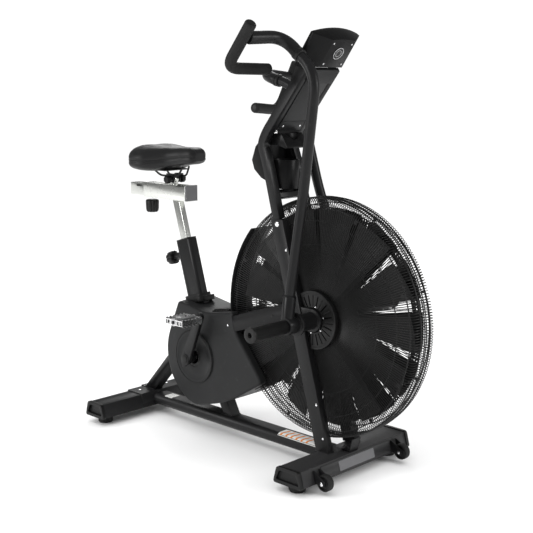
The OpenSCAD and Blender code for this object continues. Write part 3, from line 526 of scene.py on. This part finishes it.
def build_arm(side, left):
    body = side + "_arm"
    lower = rounded(ARM_PATH, 0.074, 14)
    tube = Shape().tube(place_arm(lower, left), ARM_TUBE_R, 32)
    yoke, radii = round_ended(rounded(YOKE_PATH, 0.060, 14), YOKE_R, 0.003)
    tube.tube(place_arm(yoke, left), radii, 32)
    tube.made("arm_tube_smooth_" + side, body, PAINT, "frame_paint", ["arm_tube_" + side])

    at, to = place_arm([ARM_PATH[3], ARM_PATH[3] + (ARM_PATH[2] - ARM_PATH[3]).normalized()], left)
    profile = [(0.0190, -0.004), (0.0204, -0.003), (0.0204, 0.004), (0.0188, 0.0052),
               (0.0188, 0.0068), (0.0204, 0.008), (0.0204, 0.016), (0.0185, 0.018),
               (0.0162, 0.018)]
    Shape().lathe(profile, at, to - at, 40).made(
        "arm_collar_" + side, body, BLACK, "black_plastic", bevel=0.0003)

    path, radii = round_ended(rounded(GRIP_PATH, 0.046, 16), GRIP_R)
    Shape().tube(place_arm(path, left), radii, 32).made(
        "grip_sleeve_" + side, body, FOAM, "grip_foam", ["arm_grip_" + side])
    caps = Shape()
    for end, inside in ((0, 1), (-1, -2)):
        p, q = place_arm([GRIP_PATH[end], GRIP_PATH[inside]], left)
        caps.lathe([(0.0112, 0), (0.0112, 0.0006), (0.0095, 0.0012), (0.004, 0.0014)], p, p - q, 28)
    caps.made("grip_caps_" + side, body, BLACK, "black_plastic")

    low, high = place_arm([mm(-5.2, -166.6, 70), mm(-5.2, -164.6, 87)], left)
    ring = [(0.0152, -0.001), (0.0190, 0.0), (0.0198, 0.002), (0.0180, 0.004), (0.0160, 0.0052),
            (0.0152, 0.0052)]
    Shape().lathe(ring, high, high - low, 40).made("arm_weld_" + side, body, PAINT, "frame_paint")


# ---- Saddle ----
# The curves give the half width, top and underside along the saddle, from 0 at its rear to 1
# at its nose.

EDGE_SHARE = 0.42
SEAM_SHARE = 0.46
SIDE_POWER = 0.75
SADDLE_REAR, SADDLE_NOSE = -0.572, -0.299
HALF_WIDTH = [(0, 0.060), (0.04, 0.094), (0.12, 0.119), (0.22, 0.124), (0.34, 0.117),
              (0.47, 0.090), (0.6, 0.064), (0.75, 0.049), (0.88, 0.043), (0.96, 0.036),
              (1, 0.024)]
TOP = [(0, 0.966), (0.05, 0.980), (0.18, 0.986), (0.35, 0.983), (0.6, 0.981), (0.85, 0.984),
       (0.95, 0.981), (1, 0.968)]
UNDER = [(0, 0.916), (0.05, 0.902), (0.2, 0.893), (0.45, 0.897), (0.65, 0.911), (0.85, 0.921),
         (0.95, 0.925), (1, 0.935)]


def along_curve(points, s):
    """Smooth value at s through (place, value) pairs."""
    for i in range(len(points) - 1):
        (x0, y0), (x1, y1) = points[i], points[i + 1]
        if s <= x1 or i == len(points) - 2:
            before, after = points[max(i - 1, 0)], points[min(i + 2, len(points) - 1)]
            m0 = (y1 - before[1]) / max(x1 - before[0], 1e-6) * (x1 - x0)
            m1 = (after[1] - y0) / max(after[0] - x0, 1e-6) * (x1 - x0)
            t = (s - x0) / (x1 - x0)
            return ((2 * t**3 - 3 * t**2 + 1) * y0 + (t**3 - 2 * t**2 + t) * m0
                    + (3 * t**2 - 2 * t**3) * y1 + (t**3 - t**2) * m1)
    return points[-1][1]


def saddle_x(s):
    return SADDLE_REAR + (SADDLE_NOSE - SADDLE_REAR) * s


def groove(x, width):
    """The depth at x, as a share, of a soft groove whose middle is at zero."""
    return math.exp(-(x / width) ** 2)


def edge_height(s):
    """Height of the piping round the saddle."""
    under = along_curve(UNDER, s)
    return under + EDGE_SHARE * (along_curve(TOP, s) - under)


def middle_hollow(y, s):
    """How far the hollow along the middle lowers the saddle's top."""
    return 0.006 * groove(y, 0.022) * min(1, 3 * s)


def saddle_ring(s, steps):
    """One loop of points round the saddle at the share s of its length."""
    w = along_curve(HALF_WIDTH, s)
    top, under, edge = along_curve(TOP, s), along_curve(UNDER, s), edge_height(s)
    loop = []
    for k in range(steps):
        a = 2 * math.pi * k / steps
        c, q = math.cos(a), math.sin(a)
        y = w * math.copysign(abs(c) ** SIDE_POWER, c)
        if q >= 0:
            z = edge + (top - edge) * q**0.8
            z -= middle_hollow(y, s)
            z -= 0.0016 * groove(abs(y) - SEAM_SHARE * w, 0.0032)
        else:
            z = edge - (edge - under) * abs(q) ** 0.55
        pinch = 1 - 0.0022 / w * groove(a if a < math.pi else a - 2 * math.pi, 0.07)
        pinch -= 0.0022 / w * groove(a - math.pi, 0.07)
        loop.append(Vector((saddle_x(s), y * pinch, z)))
    return loop


def build_saddle():
    rows, steps = 84, 96
    shares = [0.5 - 0.5 * math.cos(math.pi * i / (rows - 1)) for i in range(rows)]
    points = [p for s in shares for p in saddle_ring(s, steps)]
    faces = [(i * steps + k, (i + 1) * steps + k, (i + 1) * steps + (k + 1) % steps,
              i * steps + (k + 1) % steps) for i in range(rows - 1) for k in range(steps)]
    faces += [tuple(range(steps)), tuple(range((rows - 1) * steps, rows * steps))]
    obj = Shape().put(points, faces).made(
        "saddle_padding", "saddle", VINYL, "saddle_vinyl", ["saddle_cushion"], angle=80)
    soften(obj, 0.006)


def stitch_line(side, count=260):
    """The line of stitches beside the long seam on one side of the saddle."""
    line = []
    for i in range(count):
        s = 0.03 + 0.93 * i / (count - 1)
        top, edge = along_curve(TOP, s), edge_height(s)
        y = SEAM_SHARE * along_curve(HALF_WIDTH, s)
        q = math.sqrt(max(0.0, 1 - SEAM_SHARE ** (2 / SIDE_POWER)))
        z = edge + (top - edge) * q**0.8 - middle_hollow(y, s)
        line.append(Vector((saddle_x(s), side * (y + 0.0035), z)))
    return line


def build_stitching():
    stitches, piping = Shape(), Shape()
    for side in (-1, 1):
        line = stitch_line(side)
        for i in range(0, len(line) - 4, 5):
            stitches.tube(line[i:i + 4], 0.0005, 5)
        rim = [Vector((saddle_x(s), side * (along_curve(HALF_WIDTH, s) - 0.0022), edge_height(s)))
               for s in (i / 90 for i in range(91))]
        piping.tube(rim, 0.0017, 8)
    stitches.made("saddle_stitches", "saddle", BLACK, "saddle_vinyl", angle=80)
    piping.made("saddle_piping", "saddle", VINYL, "saddle_vinyl", angle=80)


# ---- Knobs and saddle wires ----

KNOB_R, CLAMP_KNOB_R = 0.024, 0.014
PIN_DROP, KNOB_BACK = 0.047, 0.076
RAIL_KNOB_X, RAIL_KNOB_TOP = -558, 785


def knob(name, body, base, axis, r, high, replaces=()):
    """A knob with eight finger hollows and a shallow dish in its end."""
    profile = [(r * 0.72, 0), (r * 0.93, high * 0.04), (r, high * 0.14), (r * 0.97, high * 0.72),
               (r * 0.9, high * 0.9), (r * 0.72, high * 0.985), (r * 0.45, high),
               (r * 0.42, high * 0.97), (r * 0.1, high * 0.97)]
    Shape().lathe(profile, base, axis, 96, 8, r * 0.12).made(
        name, body, BLACK, "black_plastic", replaces, angle=50)


def build_saddle_base():
    base = Shape()
    for side in (-1, 1):
        rail = rounded([mm(-516, 30 * side, 902), mm(-486, 20 * side, 877.5),
                        mm(-394, 20 * side, 877.5), mm(-372, 14 * side, 912)], 0.014)
        base.tube(rail, 0.0035, 14)
    base.box(mm(-480, 0, 899), mm(120, 110, 4))
    base.made("saddle_rails", "saddle", PAINT, "frame_paint", ["saddle_base"])


def build_knobs():
    along = Vector((-math.sin(SEAT_LEAN), 0, math.cos(SEAT_LEAN)))
    back = Vector((-math.cos(SEAT_LEAN), 0, -math.sin(SEAT_LEAN)))
    pin = SEAT_TOP - along * PIN_DROP
    knob("height_pull", "height_pin", pin + back * KNOB_BACK, back, KNOB_R, 0.032, ["height_knob"])
    rods = Shape().tube([pin + back * 0.024, pin + back * (KNOB_BACK + 0.002)], 0.006, 28)
    rods.tube([pin + back * 0.0174, pin + back * 0.026], 0.004, 28)
    rods.made("height_pin_rod", "height_pin", BRIGHT, "chrome")
    knob("rail_lock", "rail_knob_body", mm(RAIL_KNOB_X, 0, RAIL_KNOB_TOP), (0, 0, -1),
         KNOB_R, 0.046, ["rail_knob"])
    screw = [mm(RAIL_KNOB_X, 0, RAIL_KNOB_TOP - 2), mm(RAIL_KNOB_X, 0, 798.8)]
    Shape().tube(screw, 0.005, 28).made("rail_lock_screw", "rail_knob_body", BRIGHT, "chrome")
    Shape().tube([TILT - mm(0, 39, 0), TILT + mm(0, 39, 0)], 0.004, 28).made(
        "clamp_spindle", "clamp_knob_pair", BRIGHT, "chrome")
    knob("clamp_knob_right", "clamp_knob_pair", TILT - mm(0, 25, 0), (0, -1, 0),
         CLAMP_KNOB_R, 0.018, ["clamp_knobs"])
    knob("clamp_knob_left", "clamp_knob_pair", TILT + mm(0, 25, 0), (0, 1, 0),
         CLAMP_KNOB_R, 0.018)


def build_rail_ends():
    Shape().box(mm(-347.3, 0, 821.5), mm(9, 52.6, 55)).made(
        "rail_plug", "post", GREY_CAP, "black_plastic", bevel=0.002)
    hole = Shape().tube([mm(-612, -24.2, 834), mm(-612, -21, 834)], 0.0040, 20)
    hole.made("slide_bar_hole", "slider", BLACK, "black_plastic")


# ---- Pedals ----

PLATE_X, FRAME_Y, BARREL_Y = 0.0405, 0.0435, 0.0455


def toothed_plate(shape, centre, half, high, tooth, thick):
    """A plate that stands across the pedal, with saw teeth along its upper and lower edges."""
    steps = 12
    edge = [(-half + 2 * half * i / steps, high + (tooth if i % 2 else 0))
            for i in range(steps + 1)]
    outline = edge + [(y, -z) for y, z in reversed(edge)]
    n = len(outline)
    points = [centre + Vector((x, y, z)) for x in (-thick / 2, thick / 2) for y, z in outline]
    faces = [(i, (i + 1) % n, n + (i + 1) % n, n + i) for i in range(n)]
    for base in (0, n):
        faces += [(base + i, base + i + 1, base + n - 2 - i, base + n - 1 - i)
                  for i in range(steps)]
    shape.put(points, faces)


def build_pedals():
    for side, sign in (("right", 1), ("left", -1)):
        reach = Vector((math.cos(CRANK_ANGLE), 0, math.sin(CRANK_ANGLE))) * CRANK_LENGTH * sign
        at = CRANK + reach - Vector((0, PEDAL_Y * sign, 0))
        cage, barrel = Shape(), Shape()
        for x in (-PLATE_X, PLATE_X):
            toothed_plate(cage, at + Vector((x, 0, 0)), 0.044, 0.0085, 0.005, 0.0026)
        for y in (-FRAME_Y, FRAME_Y):
            for z in (-0.0078, 0.0078):
                cage.box(at + Vector((0, y, z)), (0.0785, 0.0028, 0.0032))
            for x in (-0.031, -0.0145, 0.0145, 0.031):
                cage.box(at + Vector((x, y, 0)), (0.0030, 0.0026, 0.0155))
        for x in (-0.021, 0.021):
            cage.box(at + Vector((x, 0, 0)), (0.0022, 0.0846, 0.010))
        for y in (-0.020, 0.020):
            cage.box(at + Vector((0, y, 0)), (0.079, 0.0030, 0.008))
        barrel.lathe([(0.0064, 0), (0.0125, 0.001), (0.0125, 0.014), (0.0098, 0.020),
                      (0.0098, 0.072), (0.0125, 0.078), (0.0125, 0.090), (0.0064, 0.091)],
                     at - Vector((0, BARREL_Y, 0)), (0, 1, 0), 40)
        cage.made("pedal_cage_" + side, side + "_pedal", ALUMINIUM, "aluminium", ["pedal_" + side],
                  bevel=0.0005)
        barrel.made("pedal_barrel_" + side, side + "_pedal", STEEL, "aluminium")


# ---- Shroud ----

SHROUD = [mm(x, 0, z) for x, z in ((-334, 457), (-406, 290), (-376, 170), (-272, 90), (-96, 140),
                                   (73, 241), (-51, 392), (-64, 457), (-196, 434))]
SHROUD_ROUNDING = [0.014, 0.060, 0.056, 0.050, 0.060, 0.026, 0.030, 0.012, 0.030]
# Keeps the cutting shape's sides just outside the shell's, as faces in one plane cut badly
CUTTER_SLACK = 0.00002


def shroud_outline():
    points = []
    count = len(SHROUD)
    for i, d in enumerate(SHROUD_ROUNDING):
        a, b, c = SHROUD[i - 1], SHROUD[i], SHROUD[(i + 1) % count]
        p, q = b + (a - b).normalized() * d, b + (c - b).normalized() * d
        points += [p.lerp(b, t / 6).lerp(b.lerp(q, t / 6), t / 6) for t in range(7)]
    return points


def inset(outline, d):
    """The outline moved inwards by d, for points that run anticlockwise seen from the right."""
    moved = []
    for i, p in enumerate(outline):
        before = (p - outline[i - 1]).normalized()
        after = (outline[(i + 1) % len(outline)] - p).normalized()
        a, b = Vector((-before.z, 0, before.x)), Vector((-after.z, 0, after.x))
        middle = (a + b).normalized()
        moved.append(p + middle * (d / max(0.5, middle.dot(a))))
    return moved


def evaluated(obj):
    """The object's mesh with its modifiers applied."""
    return bpy.data.meshes.new_from_object(obj.evaluated_get(bpy.context.evaluated_depsgraph_get()))


def build_shroud(edge=0.0085, half=0.080):
    """The CAD shells with their outer edges rounded off."""
    outline = shroud_outline()
    rings = [(0.0, 0.0), (0.0, half - edge)]
    rings += [(edge * (1 - math.cos(a)), half - edge * (1 - math.sin(a)))
              for a in (math.radians(d) for d in (15, 30, 45, 60, 75, 90))]
    for name, sign in (("shroud_right", -1), ("shroud_left", 1)):
        n = len(outline)
        points = [p + Vector((0, sign * y, 0))
                  for d, y in rings for p in inset(outline, d - CUTTER_SLACK)]
        faces = [(i * n + k, i * n + (k + 1) % n, (i + 1) * n + (k + 1) % n, (i + 1) * n + k)
                 for i in range(len(rings) - 1) for k in range(n)]
        faces += [tuple(range(n)), tuple(range((len(rings) - 1) * n, len(rings) * n))]
        work = bmesh.new()
        verts = [work.verts.new(p) for p in points]
        for f in faces:
            work.faces.new([verts[i] for i in f])
        bmesh.ops.recalc_face_normals(work, faces=work.faces)
        mesh = bpy.data.meshes.new("rounding")
        work.to_mesh(mesh)
        work.free()
        cutter = bpy.data.objects.new("rounding", mesh)
        bpy.context.scene.collection.objects.link(cutter)
        shell = bpy.data.objects.new("shell", cad[name].data.copy())
        shell.matrix_world = cad[name].matrix_world.copy()
        bpy.context.scene.collection.objects.link(shell)
        weld = shell.modifiers.new("weld", "WELD")
        weld.merge_threshold = WELD_GAP
        cut = shell.modifiers.new("cut", "BOOLEAN")
        cut.operation, cut.solver, cut.object = "INTERSECT", "EXACT", cutter
        bpy.context.view_layer.update()
        rounded_mesh = evaluated(shell)
        rounded_mesh.transform(shell.matrix_world)
        for old in (shell, cutter):
            bpy.data.objects.remove(old)
        rounded_mesh.materials.clear()
        rounded_mesh.materials.append(PLASTIC)
        smooth(rounded_mesh, 25)
        obj = bpy.data.objects.new(name.replace("shroud", "shroud_cover"), rounded_mesh)
        bpy.context.scene.collection.objects.link(obj)
        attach(obj, "frame")
        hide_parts(name)


def build_disc_grooves():
    rings = Shape()
    for side in (-1, 1):
        for r, thick in ((0.0905, 0.0016), (0.0345, 0.0014)):
            rings.tube(circle(CRANK, r, side * 0.0848, 96), thick, 8, closed=True)
    rings.made("disc_rings", "frame", BLACK, "shroud_plastic")


# ---- Console ----
# Millimetres in the console's own plane

CONSOLE_BACK, BACK_DISC_UP = -47.8, 74
CONSOLE_TURN = (Matrix.Rotation(math.radians(-90), 3, "Z")
                @ Matrix.Rotation(math.radians(90) - CONSOLE_LEAN, 3, "X"))


def on_console(x, y, z):
    """A point of the console's plane: x across it, y up its slope and z out towards the rider."""
    return CONSOLE_FOOT + CONSOLE_TURN @ mm(x, y, z)


def build_console():
    out = on_console(0, 0, 1000) - on_console(0, 0, 0)
    plate, rings, screws, marks = Shape(), Shape(), Shape(), Shape()
    plate.lathe([(0.0212, 0), (0.0212, 0.0010), (0.0204, 0.0016), (0.001, 0.0016)],
                on_console(0, BACK_DISC_UP, CONSOLE_BACK), -out, 48)
    plate.made("console_back_disc", "frame", BLACK, "black_plastic")
    for r, thick in ((0.0188, 0.0011), (0.0105, 0.0007)):
        loop = [on_console(1000 * r * math.cos(t), BACK_DISC_UP + 1000 * r * math.sin(t),
                           CONSOLE_BACK - 1.6)
                for t in (2 * math.pi * k / 48 for k in range(48))]
        rings.tube(loop, thick, 8, closed=True)
    rings.made("console_back_rings", "frame", STEEL, "chrome")
    for x, y in ((-40, 36), (40, 36), (-40, 106), (40, 106)):
        screws.dome(on_console(x, y, CONSOLE_BACK - 0.1), -out, 0.0030)
    screws.made("console_screws", "frame", STEEL, "chrome")
    for row, shares in enumerate(((0.9, 0.5, 0.7), (0.6, 0.8, 0.4), (0.7, 0.5, 0.9))):
        for column, share in enumerate(shares):
            at = on_console(50 * column - 50, 58 + 16 * row, -0.1)
            marks.box(at, mm(34 * share, 7, 0.3), CONSOLE_TURN)
    marks.made("screen_bars", "frame", BLACK, "screen")


# ---- Bolts, labels, panels and welds ----

UPRIGHT_FACE, SHROUD_FACE = 78.1, 80.1


def upright_x(z):
    """Where the middle of the leaning uprights is at the height z, both in millimetres."""
    return 331 - 0.2775 * (z - 76.4)


def build_bolts():
    bright, dark = Shape(), Shape()
    for side in (-1, 1):
        out = Vector((0, side, 0))
        bright.dome(mm(upright_x(768), side * UPRIGHT_FACE, 768), out, 0.0085)
        for z in (120, 222, 590, 690):
            bright.dome(mm(upright_x(z) + 16, side * UPRIGHT_FACE, z), out, 0.0040)
        bright.dome(mm(-84, side * SHROUD_FACE, 410), out, 0.0036)
        bright.dome(mm(440, side * 203.8, 38), out, 0.006)
        bright.dome(mm(440, side * 168.2, 38), -out, 0.005)
        bright.dome(mm(-575, side * 64, 80.1), Vector((0, 0, 1)), 0.0075)
        bright.dome(mm(-529, side * 76, 57), Vector((0.96, 0, 0.28)), 0.0055)
        bright.dome(mm(124.6, side * 38, 1066.2), Vector((0.778, 0, -0.628)), 0.0036)
        dark.dome(CRANK + out * 0.126, out, 0.013, 0.25)
        dark.dome(mm(118, side * UPRIGHT_FACE, 474), out, 0.0045)
    bright.lathe([(0.0075, 0), (0.0075, 0.006), (0.0066, 0.0068), (0.002, 0.0068)],
                 mm(378, 0, 81.1), (0, 0, 1), 6)
    bright.made("bright_bolts", "frame", BRIGHT, "chrome", ["frame_bolts"])
    dark.made("dark_bolts", "frame", BLACK, "black_plastic")


def beam_surface(x, y, lift=0.0004):
    """A point on top of the main beam, whose edges are round."""
    half, r, top = 0.037, 0.019, 0.071
    over = max(0.0, abs(y) - (half - r))
    return Vector((x, y, top - r + math.sqrt(max(0.0, r * r - over * over)) + lift))


def beam_patch(shape, x0, x1, y0, y1, slant=0.0, lift=0.0004):
    """A thin sheet that follows the beam's top; slant shifts it along x for each step in y."""
    rows = 8
    across = [y0 + (y1 - y0) * i / rows for i in range(rows + 1)]
    points = [beam_surface(x + slant * (y - y0), y, lift) for y in across for x in (x0, x1)]
    shape.put(points, [(2 * i, 2 * i + 1, 2 * i + 3, 2 * i + 2) for i in range(rows)])


def build_label():
    base, bars, lines = Shape(), Shape(), Shape()
    beam_patch(base, 0.098, 0.292, -0.033, 0.012)
    beam_patch(base, -0.478, -0.440, -0.026, 0.014)
    for k in range(6):
        beam_patch(bars, 0.106 + 0.0225 * k, 0.114 + 0.0225 * k, -0.031, 0.008, 0.22, 0.0006)
    for k in range(5):
        y, high = -0.026 + 0.0075 * k, 0.0006
        beam_patch(lines, 0.250, 0.286 - 0.004 * (k % 3), y, y + 0.0015, 0, high)
        beam_patch(lines, -0.474, -0.446 - 0.003 * (k % 2), y + 0.004, y + 0.0055, 0, high)
    base.made("beam_labels", "frame", PAPER, "frame_paint")
    bars.made("beam_label_bars", "frame", ORANGE, "frame_paint")
    lines.made("beam_label_lines", "frame", BLACK, "frame_paint")


def build_mast_lip():
    """The turned-down lower edge of the plate across the mast."""
    lip = Shape().box(mm(109, 0, 1048.5), mm(2, 92, 11))
    lip.made("mast_plate_lip", "frame", CASE, "black_plastic", bevel=0.0004)


def add_painted_highlight():
    """A plain lighter sheet on the sloping front of the front stabilizer: a painted highlight
    standing for the light that falls on that face.
    """
    turn = Matrix.Rotation(-math.atan2(14, 51), 3, "Y")
    # The sheet is a painted highlight, lighter grey where light falls on the stabilizer's front
    panel = Shape().box(mm(407.2, 0, 52.6), mm(1.2, 168, 30), turn)
    panel.made("painted_highlight_sheet", "frame", HIGHLIGHT_GREY, "black_plastic", bevel=0.0005)


def weld_line(shape, corners, wobble=0.0004):
    """A bead of weld along a closed run of corners."""
    path = []
    for a, b in zip(corners, corners[1:] + corners[:1]):
        n = max(2, int((b - a).length / 0.0035))
        path += [a.lerp(b, i / n) for i in range(n)]
    radii = [0.0021 + wobble * math.sin(1.9 * i) for i in range(len(path))]
    shape.tube(path, radii, 8, closed=True)


def build_welds():
    welds = Shape()
    for side in (-1, 1):
        low, high = side * 0.0535, side * 0.0765
        weld_line(welds, [Vector((x, y, 0.0768)) for x, y in
                          ((0.3060, low), (0.3560, low), (0.3560, high), (0.3060, high))])
    for x0, x1, z in ((-618, -546, 80.6), (-177, -129, 71.6)):
        weld_line(welds, [mm(x0, -20, z), mm(x1, -20, z), mm(x1, 20, z), mm(x0, 20, z)])
    welds.made("weld_beads", "frame", PAINT, "frame_paint", angle=80)


# A tyre's (radius, y) outline, from the wheel's centre
TYRE = [(0.0205, -0.0102), (0.0242, -0.0102), (0.0254, -0.0085), (0.0257, -0.004),
        (0.0257, 0.004), (0.0254, 0.0085), (0.0242, 0.0102), (0.0205, 0.0102)]


def build_wheels():
    steps, count = 56, len(TYRE)
    for side, y in (("right", -WHEEL.y), ("left", WHEEL.y)):
        points = [Vector((WHEEL.x + r * math.cos(a), y + h, WHEEL.z + r * math.sin(a)))
                  for r, h in TYRE for a in (2 * math.pi * k / steps for k in range(steps))]
        faces = [(i * steps + k, i * steps + (k + 1) % steps,
                  (i + 1) % count * steps + (k + 1) % steps, (i + 1) % count * steps + k)
                 for i in range(count) for k in range(steps)]
        Shape().put(points, faces).made("wheel_tyre_" + side, side + "_wheel", RUBBER, "rubber")


add_camera()
add_studio()
dress_cad()
build_cage()
build_hub_details()
build_arm("right", False)
build_arm("left", True)
build_saddle()
build_stitching()
build_saddle_base()
build_knobs()
build_rail_ends()
build_pedals()
build_shroud()
build_disc_grooves()
build_console()
build_bolts()
build_label()
add_painted_highlight()
build_mast_lip()
build_welds()
build_wheels()
